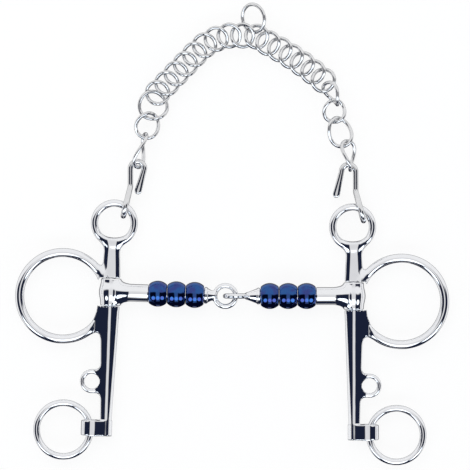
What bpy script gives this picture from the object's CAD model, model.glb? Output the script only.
import bpy
import math
import numpy as np
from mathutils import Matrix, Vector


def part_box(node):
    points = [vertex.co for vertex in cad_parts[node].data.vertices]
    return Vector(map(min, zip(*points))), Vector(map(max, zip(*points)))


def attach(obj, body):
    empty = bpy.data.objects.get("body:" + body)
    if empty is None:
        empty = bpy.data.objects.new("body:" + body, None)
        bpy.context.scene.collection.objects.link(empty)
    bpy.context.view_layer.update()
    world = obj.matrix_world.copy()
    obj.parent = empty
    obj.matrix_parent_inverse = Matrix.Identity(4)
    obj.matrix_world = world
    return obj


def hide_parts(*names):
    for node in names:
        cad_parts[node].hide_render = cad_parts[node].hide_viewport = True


# A jointed pelham bit, laid flat and seen from straight above, in metres and in the CAD model's frame.

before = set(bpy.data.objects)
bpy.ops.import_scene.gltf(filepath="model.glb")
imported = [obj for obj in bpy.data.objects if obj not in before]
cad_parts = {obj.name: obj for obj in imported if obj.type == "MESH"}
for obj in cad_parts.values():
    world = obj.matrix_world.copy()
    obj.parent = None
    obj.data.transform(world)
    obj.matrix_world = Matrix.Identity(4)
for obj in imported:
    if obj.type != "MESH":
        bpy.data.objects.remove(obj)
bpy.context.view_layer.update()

# ---- Studio ----
# A white table with a tent of soft light round it. The tent has navy gaps at both sides and at the
# near edge, which polished steel shows as crisp dark lines, and three small bright lamps low in front.


class Wire:
    """One output of a shader's nodes. Arithmetic on it adds the Math nodes that are needed."""

    def __init__(self, tree, out=None):
        self.tree, self.out = tree, out

    def node(self, kind, settings=None, inputs=None, output=0):
        made = self.tree.nodes.new(kind)
        for name, value in (settings or {}).items():
            setattr(made, name, value)
        for name, value in (inputs or {}).items():
            if isinstance(value, Wire):
                self.tree.links.new(value.out, made.inputs[name])
            else:
                made.inputs[name].default_value = value
        return Wire(self.tree, made.outputs[output] if made.outputs else None)

    def maths(self, operation, *values):
        return self.node("ShaderNodeMath", {"operation": operation}, dict(enumerate(values)))

    def __add__(self, other):
        return self.maths("ADD", self, other)

    def __sub__(self, other):
        return self.maths("SUBTRACT", self, other)

    def __rsub__(self, other):
        return self.maths("SUBTRACT", other, self)

    def __mul__(self, other):
        return self.maths("MULTIPLY", self, other)

    def __pow__(self, other):
        return self.maths("POWER", self, other)

    def __abs__(self):
        return self.maths("ABSOLUTE", self)

    def most(self, other):
        return self.maths("MAXIMUM", self, other)

    def over(self, edge, soft):
        """0 below the edge and 1 above it, with a soft step between."""
        return self.node("ShaderNodeMapRange", {"interpolation_type": "SMOOTHSTEP"},
                         {"Value": self, "From Min": edge - soft, "From Max": edge + soft})

    def between(self, low, high, soft):
        return self.over(low, soft) * (1 - self.over(high, soft))

    def blend(self, first, second):
        """The colour from first to second as this value goes from 0 to 1."""
        return self.node("ShaderNodeMix", {"data_type": "RGBA"}, {0: self, 6: first, 7: second}, 2)

    __radd__, __rmul__ = __add__, __mul__


TENT_WHITE = (0.98, 0.98, 0.985, 1.0)
TENT_GREY = (0.20, 0.20, 0.21, 1.0)
TENT_NAVY = (0.012, 0.017, 0.040, 1.0)
TENT_CROWN = (0.80, 0.80, 0.81, 1.0)
LAMP_LIGHT = (2.3, 2.5, 2.7, 1.0)
LAMP_SPREAD, LAMP_DROP, LAMP_R = 0.17, 0.33, 0.14

bpy.context.scene.view_settings.view_transform = "Standard"
world = bpy.data.worlds.new("light_tent")
bpy.context.scene.world = world
world.use_nodes = True
world.node_tree.nodes.clear()
air = Wire(world.node_tree)
towards = air.node("ShaderNodeTexCoord")
# The slope of a level piece of steel that would mirror this part of the tent upwards.
raised = air.node("ShaderNodeVectorMath", {"operation": "ADD"}, {0: towards, 1: (0.0, 0.0, 1.0)})
slope = air.node("ShaderNodeVectorMath", {"operation": "NORMALIZE"}, {0: raised})
across = air.node("ShaderNodeSeparateXYZ", None, {0: slope}, 0)
upwards = air.node("ShaderNodeSeparateXYZ", None, {0: slope}, 1)
steep = (across * across + upwards * upwards) ** 0.5
warp = air.node("ShaderNodeTexNoise", None, {"Vector": slope, "Scale": 2.6, "Detail": 1.0}) * 0.22 - 0.11
side_gap = (abs(across) + warp * 0.7).between(0.13, 0.60, 0.03)
side_gap = side_gap * (1 - (upwards + warp * 0.8).over(0.12, 0.05))
near_gap = (upwards + warp * 0.6).between(-0.87, -0.56, 0.04)
seam = upwards.between(-0.53, -0.46, 0.03) * (1 - abs(across).over(0.13, 0.05)) * 0.6
gaps = side_gap.most(near_gap).most(seam)
# The two folds of across put one lamp in the middle and one on each side of it.
off_lamp = (abs(abs(across) - LAMP_SPREAD) - LAMP_SPREAD) * (1 / LAMP_R)
below_lamp = (upwards + LAMP_DROP) * (1 / LAMP_R)
lamps = 1 - (off_lamp * off_lamp + below_lamp * below_lamp).over(1.0, 0.35)
crown = (1 - steep.over(0.16, 0.10)).blend(TENT_WHITE, TENT_CROWN)
rim = steep.over(0.92, 0.05).blend(crown, TENT_GREY)
tent = gaps.blend(rim, TENT_NAVY)
lit = lamps.blend(tent, LAMP_LIGHT)
seen = air.node("ShaderNodeLightPath")
sky = seen.blend(lit, (1.0, 1.0, 1.0, 1.0))
light = air.node("ShaderNodeBackground", None, {"Color": sky, "Strength": 1.0})
air.node("ShaderNodeOutputWorld", None, {"Surface": light})

table_mesh = bpy.data.meshes.new("white_table")
table_mesh.from_pydata([(-3, -3, 0), (3, -3, 0), (3, 3, 0), (-3, 3, 0)], [], [(0, 1, 2, 3)])
table_top = bpy.data.objects.new("white_table", table_mesh)
table_top.location.z = -0.0004
bpy.context.scene.collection.objects.link(table_top)
table_paper = bpy.data.materials.new("white_paper")
table_paper.use_nodes = True
table_paper.node_tree.nodes.clear()
paper = Wire(table_paper.node_tree)
sheet = paper.node("ShaderNodeBsdfDiffuse", None, {"Color": (0.9, 0.9, 0.9, 1.0)})
glow = paper.node("ShaderNodeEmission", None, {"Color": (1.0, 1.0, 1.0, 1.0)})
camera_ray = paper.node("ShaderNodeLightPath")
glossy_ray = Wire(camera_ray.tree, camera_ray.out.node.outputs["Is Glossy Ray"])
plain = paper.node("ShaderNodeMixShader", None, {0: camera_ray * 0.88, 1: sheet, 2: glow})
unseen = paper.node("ShaderNodeBsdfTransparent")
both = paper.node("ShaderNodeMixShader", None, {0: glossy_ray, 1: plain, 2: unseen})
paper.node("ShaderNodeOutputMaterial", None, {"Surface": both})
table_mesh.materials.append(table_paper)

softbox = bpy.data.lights.new("softbox", "AREA")
softbox.shape = "DISK"
softbox.size = 1.2
softbox.energy = 6.0
softbox_stand = bpy.data.objects.new("softbox", softbox)
softbox_stand.location = (-0.25, 0.45, 1.2)
softbox_stand.rotation_euler = (math.radians(-20), math.radians(-12), 0)
softbox_stand.visible_glossy = False
bpy.context.scene.collection.objects.link(softbox_stand)

lens = bpy.data.cameras.new("camera")
lens.sensor_width = 36.0
lens.lens = 36.0 * 2.0 / 0.2672
camera = bpy.data.objects.new("camera", lens)
camera.location = (0.0016, -0.0006, 2.0074)
bpy.context.scene.collection.objects.link(camera)
bpy.context.scene.camera = camera

# ---- Mouthpiece arms ----
# Two stainless castings linked through each other's eyes. Each is a plain cannon that swells into
# the barrel for the cheek pin, a slim spindle for its rollers, and a neck drawn out into the eye.

MM = 0.001
RIGHT_ARM = 67.2
LEFT_ARM = 65.3
LEFT_LEAN = math.radians(-2.0)
EYE_RING, EYE_WIRE = 5.95, 1.4
BARREL_R, BARREL_HALF, PIN_HOLE_R = 5.6, 7.8, 3.06
CANNON_R, SPINDLE_R = 5.0, 3.8
STACK_IN, STACK_OUT = -53.3, -21.5

bead_low, bead_high = (np.array(c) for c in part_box("right_roller_2"))
right_pin = (bead_low + bead_high) / 2 + np.array([37.4, 0, 0]) * MM
joint = right_pin - np.array([RIGHT_ARM + 1.6, 0, 0]) * MM
left_pin = joint + np.array([-4.35 - LEFT_ARM * math.cos(LEFT_LEAN), -LEFT_ARM * math.sin(LEFT_LEAN), 0]) * MM


def stand_at(points, side):
    """Millimetres in one side's own frame, +X outwards from its pin, to metres in the part's frame."""
    p = np.asarray(points, float) * MM
    if side == "right":
        return p + right_pin
    c, s = math.cos(LEFT_LEAN), math.sin(LEFT_LEAN)
    x, y, z = -p[:, 0], p[:, 1], p[:, 2]
    return np.stack([c * x - s * y, s * x + c * y, z], 1) + left_pin


def steel_finish(name, bright, dull, roughness, ripple):
    """Polished steel: faint cloudiness, a roughness that wanders, and the slow ripple of hand polishing."""
    made = bpy.data.materials.new(name)
    made.use_nodes = True
    made.node_tree.nodes.clear()
    w = Wire(made.node_tree)
    place = w.node("ShaderNodeTexCoord", None, None, 3)
    cloud = w.node("ShaderNodeTexNoise", None, {"Vector": place, "Scale": 260.0, "Detail": 3.0})
    slow = w.node("ShaderNodeTexNoise", None, {"Vector": place, "Scale": 95.0, "Detail": 1.0})
    rubbed = w.node("ShaderNodeTexNoise", None, {"Vector": place, "Scale": 2600.0, "Detail": 2.0})
    colour = cloud.blend(bright, dull)
    bump = w.node("ShaderNodeBump", None, {"Strength": ripple, "Distance": 0.0004, "Height": slow})
    shell = w.node("ShaderNodeBsdfPrincipled", None, {
        "Base Color": colour, "Metallic": 1.0, "Normal": bump,
        "Roughness": roughness + cloud * 0.03 + rubbed * 0.02})
    w.node("ShaderNodeOutputMaterial", None, {"Surface": shell})
    return made


polished_steel = steel_finish("polished_steel", (0.88, 0.885, 0.90, 1), (0.80, 0.81, 0.835, 1), 0.02, 0.35)


def blend_min(a, b, fillet):
    """The nearer of two shapes, with a fillet where they meet."""
    h = np.maximum(fillet - np.abs(a - b), 0) / fillet
    return np.minimum(a, b) - h * h * fillet / 4


def blend_max(a, b, fillet):
    return -blend_min(-a, -b, fillet)


def to_ring(p, centre, ring, wire, through=2):
    """Distance to a wire ring whose hole runs along the axis called through."""
    q = p - np.array(centre, float)
    flat = [i for i in range(3) if i != through]
    return np.hypot(np.hypot(q[:, flat[0]], q[:, flat[1]]) - ring, q[:, through]) - wire


def to_bar(p, along, low, high, r_low, r_high, edge=0.3):
    """Distance to a round bar or taper along one axis, with its end edges broken."""
    t = np.clip((p[:, along] - low) / (high - low), 0, 1)
    others = [i for i in range(3) if i != along]
    radial = np.hypot(p[:, others[0]], p[:, others[1]]) - (r_low + (r_high - r_low) * t)
    return blend_max(radial, np.abs(p[:, along] - (low + high) / 2) - (high - low) / 2, edge)


def skin(distance, low, high, cell):
    """A quad skin where distance is 0, drawn in a box, with its corners pulled onto the shape."""
    low, high = np.array(low, float), np.array(high, float)
    n = np.ceil((high - low) / cell).astype(int) + 1
    grid = np.stack(np.meshgrid(*[low[i] + cell * np.arange(n[i]) for i in range(3)], indexing="ij"), -1)
    inside = (distance(grid.reshape(-1, 3)) < 0).reshape(n)
    count = sum(inside[i:n[0] - 1 + i, j:n[1] - 1 + j, k:n[2] - 1 + k].astype(int)
                for i in (0, 1) for j in (0, 1) for k in (0, 1))
    live = (count > 0) & (count < 8)
    number = -np.ones(live.shape, int)
    number[live] = np.arange(live.sum())
    points = low + cell * (np.argwhere(live) + 0.5)
    quads = []
    for a in range(3):
        b, c = (a + 1) % 3, (a + 2) % 3
        first = np.take(inside, range(n[a] - 1), a)
        last = np.take(inside, range(1, n[a]), a)
        for outward in (True, False):
            at = np.argwhere((first & ~last) if outward else (last & ~first))
            ring = []
            for db, dc in ((-1, -1), (0, -1), (0, 0), (-1, 0)):
                cell_at = at.copy()
                cell_at[:, b] += db
                cell_at[:, c] += dc
                ring.append(number[tuple(cell_at.T)])
            quads.append(np.stack(ring if outward else ring[::-1], 1))
    for _ in range(6):
        slope_at, value = steepest(distance, points)
        points = points - np.clip(value, -cell, cell)[:, None] * slope_at
    return points, np.concatenate(quads), steepest(distance, points)[0]


def steepest(distance, points, step=0.02):
    value = distance(points)
    g = np.stack([distance(points + step * np.eye(3)[i]) - distance(points - step * np.eye(3)[i])
                  for i in range(3)], 1)
    return g / np.maximum(np.linalg.norm(g, axis=1), 1e-9)[:, None], value


def make_piece(name, points, faces, material, body, stands_for, normals=None):
    """A smooth-shaded mesh in metres that rides on a body and stands for one CAD node."""
    mesh = bpy.data.meshes.new(name)
    mesh.from_pydata([tuple(p) for p in points], [], [tuple(int(i) for i in f) for f in faces])
    mesh.validate()
    mesh.shade_smooth()
    if normals is not None:
        mesh.normals_split_custom_set_from_vertices([tuple(v) for v in normals])
    mesh.materials.append(material)
    piece = bpy.data.objects.new(name, mesh)
    bpy.context.scene.collection.objects.link(piece)
    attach(piece, body)
    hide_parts(stands_for)
    return piece


def place_casting(name, shape, low, high, cell, side, body, stands_for):
    """Skins a casting in its side's own frame and puts it in place, turned over for the left side."""
    points, quads, normals = skin(shape, low, high, cell)
    if side == "left":
        quads = quads[:, ::-1]
    tips = stand_at(points + normals, side)
    points = stand_at(points, side)
    make_piece(name, points, quads, polished_steel, body, stands_for, (tips - points) / MM)


def arm_shape(length, standing):
    def shape(p):
        barrel = to_bar(p, 1, -BARREL_HALF, BARREL_HALF, BARREL_R, BARREL_R, 0.9)
        belly = np.linalg.norm(p * [1, 0.9, 1], axis=1) - 6.5
        t = np.clip((p[:, 0] + 12.0) / 9.0, 0, 1)
        swell_r = CANNON_R + 1.6 * t * t * (3 - 2 * t)
        cannon = to_bar(p, 0, STACK_OUT, -3, swell_r, swell_r, 0.4)
        body = blend_min(blend_min(barrel, belly, 1.5), cannon, 2.6)
        # The fillets must not swell the ends of the barrel into the shoulders of the cheek.
        body = blend_max(body, np.abs(p[:, 1]) - BARREL_HALF, 0.3)
        spindle = to_bar(p, 0, STACK_IN - 1, STACK_OUT + 1, SPINDLE_R, SPINDLE_R)
        collar = to_bar(p, 0, STACK_IN - 1.6, STACK_IN, 4.6, 4.6, 0.5)
        neck = to_bar(p, 0, EYE_RING - length, STACK_IN - 1, 1.9, 4.6, 0.4)
        eye = to_ring(p, (-length, 0, 0), EYE_RING, EYE_WIRE, 1 if standing else 2)
        neck = blend_min(blend_min(collar, neck, 0.8), eye, 1.6)
        # The fillet must not creep round into the hole that the other eye passes through.
        whole = np.minimum(np.minimum(body, spindle), neck)
        bore = np.hypot(p[:, 0], p[:, 2]) - PIN_HOLE_R
        return np.maximum(whole, -bore)
    return shape


place_casting("left_mouthpiece", arm_shape(LEFT_ARM, False), (-74, -9, -8), (8, 9, 8), 0.42,
              "left", "left_mouth", "left_mouth_arm")
place_casting("right_mouthpiece", arm_shape(RIGHT_ARM, True), (-76, -9, -8), (8, 9, 8), 0.42,
              "right", "right_mouth", "right_mouth_arm")

# ---- Roller beads ----
# Six turned steel beads, polished and heat-blued, three loose on each spindle. Each is a ball
# faced flat at both ends with its corners just broken, and the blue runs to violet at the faces.

BEAD_R, BEAD_HALF, BEAD_BORE = 7.4, 5.175, 3.86

blued_steel = bpy.data.materials.new("blued_steel")
blued_steel.use_nodes = True
blued_steel.node_tree.nodes.clear()
blue = Wire(blued_steel.node_tree)
bead_place = blue.node("ShaderNodeTexCoord", None, None, 3)
stain = blue.node("ShaderNodeTexNoise", None, {"Vector": bead_place, "Scale": 230.0, "Detail": 2.0})
grain = blue.node("ShaderNodeTexNoise", None, {"Vector": bead_place, "Scale": 1500.0, "Detail": 2.0})
oxide = stain.over(0.51, 0.12).blend((0.022, 0.088, 0.29, 1), (0.036, 0.045, 0.21, 1))
oxide = (grain * 0.35).blend(oxide, (0.010, 0.075, 0.27, 1))
bead_bump = blue.node("ShaderNodeBump", None, {"Strength": 0.2, "Distance": 0.0003, "Height": stain})
bead_shell = blue.node("ShaderNodeBsdfPrincipled", None, {
    "Base Color": oxide, "Metallic": 1.0, "Roughness": 0.06 + grain * 0.05, "Normal": bead_bump,
    "Coat Weight": 0.25, "Coat Roughness": 0.04})
blue.node("ShaderNodeOutputMaterial", None, {"Surface": bead_shell})

BEAD_TURNS = 72
face_r = math.sqrt(BEAD_R ** 2 - BEAD_HALF ** 2)
lean = math.asin(BEAD_HALF / BEAD_R)
arc = [(BEAD_R * math.sin(a), BEAD_R * math.cos(a)) for a in np.linspace(-lean + 0.04, lean - 0.04, 25)]
profile = ([(-BEAD_HALF, BEAD_BORE), (-BEAD_HALF, face_r - 0.35), (-BEAD_HALF + 0.07, face_r - 0.12)] + arc
           + [(BEAD_HALF - 0.07, face_r - 0.12), (BEAD_HALF, face_r - 0.35), (BEAD_HALF, BEAD_BORE)])
for side in ("left", "right"):
    for n in (1, 2, 3):
        middle = -37.4 + (2 - n) * 10.5
        ring = [(middle + x, r * math.cos(t), r * math.sin(t)) for t in
                np.linspace(0, 2 * math.pi, BEAD_TURNS, endpoint=False) for x, r in profile]
        m = len(profile)
        quads = [(i * m + k, i * m + (k + 1) % m, ((i + 1) % BEAD_TURNS) * m + (k + 1) % m,
                  ((i + 1) % BEAD_TURNS) * m + k) for i in range(BEAD_TURNS) for k in range(m)]
        if side == "right":
            quads = [q[::-1] for q in quads]
        node = f"{side}_roller_{n}"
        bead = make_piece(f"{side}_bead_{n}", stand_at(ring, side), quads, blued_steel, node, node)
        bead.data.set_sharp_from_angle(angle=math.radians(40))

# ---- Cheeks ----
# One stainless casting a side, polished all over: a headstall eye, a flat upper shank, the pin in
# the barrel, a fixed snaffle ring, and a ridged lower shank with lip strap loop and bored foot.

HEAD_EYE = (-0.8, 39.3, 0.0)
SNAFFLE = (27.0, -3.1, 0.0)
LIP_LOOP = (8.8, -51.0, 0.0)
HEAD_EYE_R, HEAD_EYE_WIRE = 11.3, 2.0
SNAFFLE_R, SNAFFLE_WIRE = 24.6, 2.5
LIP_LOOP_R, LIP_LOOP_WIRE, LIP_HOLE_R = 5.55, 1.27, 4.3
FOOT_X, FOOT_TOP, FOOT_END = 8.9, -73.2, -81.8
FOOT_BOSS_R, FOOT_HOLE_R = 5.2, 3.2
PIN_R, PIN_HALF = 3.0, 9.1
SHOULDER, BARREL_ROOM = 8.1, 7.1
OUTER_TILT, INNER_TILT, RIDGE_HALF = 15, 17, 0.75


def to_plane(x, z, tilt, through_x, through_z):
    """Distance over a plane tilted towards +x, that passes through one point of the section."""
    a = math.radians(tilt)
    return math.sin(a) * (x - through_x) + math.cos(a) * (z - through_z)


def cheek_shape(p):
    x, y, z = p[:, 0], p[:, 1], np.abs(p[:, 2])
    # Upper shank: flat front, a narrow bevel down each edge.
    t = np.clip((y - SHOULDER) / 20.0, 0, 1)
    w, h = 5.2 - 0.9 * t, 3.2 - 0.7 * t
    upper = blend_max(np.abs(x) - w, z - h, 0.9)
    upper = blend_max(upper, to_plane(np.abs(x), z, 30, w - 2.0, h), 0.5)
    upper = blend_max(upper, np.abs(y - 19.0) - 10.9, 0.6)
    # Lower shank: a narrow flat ridge between a wide outer facet and a narrower inner one.
    t = np.clip((-SHOULDER - y) / 65.0, 0, 1)
    w, h = 5.4 - 2.1 * t, 3.2 - 0.5 * t
    facets = blend_max(z - h, to_plane(x, z, OUTER_TILT, RIDGE_HALF, h), 0.22)
    facets = blend_max(facets, to_plane(-x, z, INNER_TILT, RIDGE_HALF, h), 0.22)
    lower = blend_max(facets, to_plane(-x, z, 52, w - 1.5, h - 0.55), 0.4)
    lower = blend_max(lower, np.abs(x) - w, 0.9)
    lower = blend_max(lower, np.abs(y + 44.9) - 36.8, 0.5)
    eye = to_ring(p, HEAD_EYE, HEAD_EYE_R, HEAD_EYE_WIRE)
    snaffle = to_ring(p, SNAFFLE, SNAFFLE_R, SNAFFLE_WIRE)
    gap = to_bar(p, 1, -SHOULDER, SHOULDER, BARREL_ROOM, BARREL_ROOM, 0.3)
    snaffle = blend_max(snaffle, -gap, 0.6)
    loop = to_ring(p, LIP_LOOP, LIP_LOOP_R, LIP_LOOP_WIRE)
    foot = np.maximum(np.abs(x - 2.75) - 6.15, np.abs(y - (FOOT_TOP + FOOT_END) / 2) - 4.3)
    foot = blend_max(foot, z - FOOT_BOSS_R, 0.3)
    foot = blend_max(foot, to_plane(-x, z, 27, -RIDGE_HALF, h), 0.3)
    boss = to_bar(p - np.array([FOOT_X, 0, 0]), 1, FOOT_END, FOOT_TOP, FOOT_BOSS_R, FOOT_BOSS_R, 0.8)
    foot = blend_min(foot, boss, 1.2)
    foot = blend_max(foot, -(np.hypot(x - FOOT_X, z) - FOOT_HOLE_R), 0.5)
    pin = to_bar(p, 1, -PIN_HALF, PIN_HALF, PIN_R, PIN_R, 0.1)
    # Every joint of the casting is filled. Below, the outer facet of the shank is ground right across
    # the webs, and the snaffle ring and the lip strap loop rise out of it at a slant.
    web = np.maximum(blend_min(blend_min(lower, snaffle, 7.0), loop, 5.0), facets)
    ring_rise = blend_max(snaffle, to_plane(-x, z, 38, -8.5, 1.1), 1.0)
    snaffle = np.where(y < SNAFFLE[1], ring_rise, snaffle)
    upper = blend_min(blend_min(upper, eye, 4.2), snaffle, 3.6)
    loop = blend_max(loop, to_plane(-x, z, 45, -5.2, 0.2), 0.4)
    whole = np.minimum(np.minimum(upper, loop), blend_min(web, foot, 0.9))
    keep_out = np.minimum(gap, np.hypot(x - LIP_LOOP[0], y - LIP_LOOP[1]) - LIP_HOLE_R)
    whole = np.maximum(whole, -keep_out)
    return np.minimum(whole, pin)


for side in ("left", "right"):
    place_casting(f"{side}_cheekpiece", cheek_shape, (-14.6, -83, -7), (55.6, 54, 7), 0.5, side,
                  f"{side}_cheek", f"{side}_cheek")

# ---- Rein rings ----
# Loose rings of round stainless wire, butt-welded and polished, hung in the holes of the feet.

REIN_RING, REIN_WIRE, REIN_DROOP = 15.25, 1.85, math.radians(6)


def sweep(line, up, width, depth=None, closed=True, sides=16):
    """A wire along a line of points, round or flattened, with width across up and depth along it."""
    line, up = np.asarray(line, float), np.asarray(up, float)
    width = np.broadcast_to(width, len(line))
    depth = width if depth is None else np.broadcast_to(depth, len(line))
    if closed:
        run = np.roll(line, -1, 0) - np.roll(line, 1, 0)
    else:
        run = np.gradient(line, axis=0)
    run /= np.linalg.norm(run, axis=1)[:, None]
    aside = np.cross(run, up)
    aside /= np.linalg.norm(aside, axis=1)[:, None]
    over = np.cross(aside, run)
    turn = np.arange(sides) * 2 * np.pi / sides
    rings = (line[:, None] + width[:, None, None] * np.cos(turn)[None, :, None] * aside[:, None]
             + depth[:, None, None] * np.sin(turn)[None, :, None] * over[:, None])
    n = len(line)
    faces = [(i * sides + k, ((i + 1) % n) * sides + k, ((i + 1) % n) * sides + (k + 1) % sides,
              i * sides + (k + 1) % sides) for i in range(n if closed else n - 1) for k in range(sides)]
    if not closed:
        faces += [tuple(range(sides)), tuple((n - 1) * sides + k for k in reversed(range(sides)))]
    return rings.reshape(-1, 3), faces


for side in ("left", "right"):
    a = np.linspace(0, 2 * math.pi, 120, endpoint=False)
    middle = np.array([FOOT_X + REIN_RING * math.cos(REIN_DROOP),
                       (FOOT_TOP + FOOT_END) / 2 - REIN_RING * math.sin(REIN_DROOP), 0])
    line = middle + REIN_RING * np.stack([np.cos(a), np.sin(a), 0 * a], 1)
    points, faces = sweep(line, [0, 0, 1], REIN_WIRE, sides=24)
    faces = [f[::-1] for f in faces] if side == "left" else faces
    make_piece(f"{side}_ring_of_rein", stand_at(points, side), faces, polished_steel, f"{side}_rein",
               f"{side}_rein_ring")

# ---- Curb hooks ----
# Bent from 3 mm stainless wire. The lower end is closed into a loop through the headstall eye, and
# the upper end is bent over and hammered out into a flat thumb piece. Tumbled, so softer in shine.

HOOK_WIRE, HOOK_BEND, HOOK_LOOP = 1.5, 4.0, 5.7
HOOKS = {"left": ((-54.3, 72.5), -1, 62.3, 13.5, 16.0), "right": ((65.75, 70.75), 1, 59.5, 15.0, -13.0)}

tumbled_steel = steel_finish("tumbled_steel", (0.84, 0.84, 0.845, 1), (0.60, 0.605, 0.615, 1), 0.06, 0.3)


def turn(axis, degrees):
    """A turn about X, Y or Z as a matrix."""
    c, s = math.cos(math.radians(degrees)), math.sin(math.radians(degrees))
    i, j = {"X": (1, 2), "Y": (2, 0), "Z": (0, 1)}[axis]
    m = np.eye(3)
    m[i, i], m[j, j], m[i, j], m[j, i] = c, c, -s, s
    return m


def arc_line(centre, r, start, end, steps):
    a = np.radians(np.linspace(start, end, steps))
    return np.stack([centre[0] + r * np.cos(a), centre[1] + r * np.sin(a), 0 * a], 1)


for side, (bend, way, foot_y, loop_lean, thumb_lean) in HOOKS.items():
    foot = np.array([way * HOOK_BEND, foot_y - bend[1], 0])
    stem = np.linspace(foot, [foot[0], 0, 0], 12)[:-1]
    top = arc_line((0, 0), HOOK_BEND, 0, 180, 30)
    if way < 0:
        top = top[::-1]
    thumb = np.linspace([0, 0, 0], [0, -15.2, 0], 26)[1:] @ turn("Z", way * thumb_lean).T + [-foot[0], 0, 0]
    line = np.concatenate([stem, top, thumb])
    flat = np.clip(np.linspace(0, 1, 25) * 1.15, 0, 1)
    tip = np.ones(25)
    tip[-4:] = [0.97, 0.90, 0.72, 0.35]
    width = np.concatenate([np.full(41, HOOK_WIRE), (HOOK_WIRE + 0.55 * flat) * tip])
    depth = np.concatenate([np.full(41, HOOK_WIRE), (HOOK_WIRE - 0.72 * flat) * np.minimum(1, tip + 0.2)])
    points, faces = sweep(line, [0, 0, 1], width, depth, closed=False, sides=20)
    reach = 17.3 - HOOK_LOOP
    slant = math.degrees(math.asin((HOOK_LOOP - 2.0) / (reach - 2.0)))
    loop = np.concatenate([arc_line((0, -reach), HOOK_LOOP, 180 - slant, 360 + slant, 40),
                           arc_line((0, -2.0), 2.0, slant, 180 - slant, 16)])
    loop = np.concatenate([loop[:40], np.linspace(loop[39], loop[40], 12)[1:-1], loop[40:],
                           np.linspace(loop[55], loop[0], 12)[1:-1]])
    loop = loop @ turn("Y", 90).T @ turn("Z", way * loop_lean).T + foot
    up = turn("Z", way * loop_lean) @ [1, 0, 0]
    more, more_faces = sweep(loop, up, HOOK_WIRE, sides=20)
    more_faces = [tuple(i + len(points) for i in f) for f in more_faces]
    points = np.concatenate([points, more]) + [bend[0], bend[1], 0]
    make_piece(f"{side}_hook_of_curb", points * MM + joint, faces + more_faces, tumbled_steel,
               f"{side}_hook", f"{side}_curb_hook")

# ---- End links ----
# Long links of 2 mm stainless wire, bent oval, twisted and welded. Three join the left hook to
# the woven run, and four the right one. Their turns about each other follow how they fell.

LINK_WIRE = 1.0
LEFT_ENDS = (((-52.1, 82.7), (9.8, 6.2, 1.7), (75.6, 80.4, 2.2)),
             ((-48.6, 97.0), (7.2, 6.4, 1.7), (70.7, 14.0, -4.5)),
             ((-45.2, 108.3), (8.0, 8.0, 1.7), (77.1, 7.5, 15.0)))
RIGHT_ENDS = (((65.9, 79.9), (8.4, 6.4, -1.7), (-84.6, -65.3, -7.8)),
              ((60.8, 93.2), (8.4, 6.4, 1.6), (-72.9, -13.9, -1.2)),
              ((57.6, 105.2), (6.3, 6.0, 1.4), (-90.4, -11.6, 6.9)),
              ((56.4, 115.0), (6.9, 6.4, 1.4), (-64.9, 65.5, 8.4)))


def chain_link(node, at, shape, heading, roll, tip):
    """A twisted oval link: half length, half width and twist, rolled, tipped and headed in its place."""
    way = turn("Z", heading) @ turn("Y", tip) @ turn("X", roll)
    t = np.linspace(0, 2 * math.pi, 72, endpoint=False)
    line = np.stack([shape[0] * np.cos(t), shape[1] * np.sin(t), shape[2] * np.sin(2 * t)], 1) @ way.T
    points, faces = sweep(line + [at[0], at[1], 0], way @ [0, 0, 1], LINK_WIRE)
    make_piece("wire_" + node, points * MM + joint, faces, tumbled_steel, node, node)


for side, ends in (("left", LEFT_ENDS), ("right", RIGHT_ENDS)):
    for n, (at, shape, way) in enumerate(ends, 1):
        chain_link(f"{side}_end_link_{n}", at, shape, *way)

# ---- Curb links ----
# Sixteen short links of the same wire, each twisted so that the run lies flat and every link
# passes through the next. They follow one curve over the top of the chain.

CURB_SHAPE, CURB_PITCH = (6.2, 6.4, 1.6), 7.6
CHAIN_TOP = (1.6, 148.3)
LEFT_ARCS, RIGHT_ARCS = ((30, 46),), ((40, 27), (157, 16))


def along_chain(arcs, run, way):
    """Place and heading after a run from the top of the chain, along arcs and then straight."""
    x, y, heading = CHAIN_TOP[0], CHAIN_TOP[1], 0.0
    for r, angle in arcs:
        part = min(run, r * math.radians(angle))
        after = heading + part / r
        x += way * r * (math.sin(after) - math.sin(heading))
        y += r * (math.cos(after) - math.cos(heading))
        heading, run = after, run - part
    return x + way * run * math.cos(heading), y - run * math.sin(heading), -way * math.degrees(heading)


for n in range(1, 17):
    if n <= 8:
        x, y, heading = along_chain(LEFT_ARCS, (8.5 - n) * CURB_PITCH, -1)
    else:
        x, y, heading = along_chain(RIGHT_ARCS, (n - 8.5) * CURB_PITCH, 1)
    # The link that carries the fly link is pulled a little out of line.
    moved = (0.5, 0.8, -3.5, 4.6) if n == 10 else (0, 0, 0, 0)
    chain_link(f"curb_link_{n:02d}", (x + moved[0], y + moved[1]), CURB_SHAPE, heading, moved[2], moved[3])

# ---- Fly link ----
# A plain ring of the chain's wire that hangs in the middle of the chain and holds the lip strap.

fly_way = turn("Z", -60) @ turn("Y", -11.6) @ turn("X", 39.4)
a = np.linspace(0, 2 * math.pi, 80, endpoint=False)
fly_line = 8.0 * np.stack([np.cos(a), np.sin(a), 0 * a], 1) @ fly_way.T + [11.6, 157.9, 0]
fly_points, fly_faces = sweep(fly_line, fly_way @ [0, 0, 1], LINK_WIRE)
make_piece("ring_of_fly_link", fly_points * MM + joint, fly_faces, tumbled_steel, "fly_link", "fly_link")
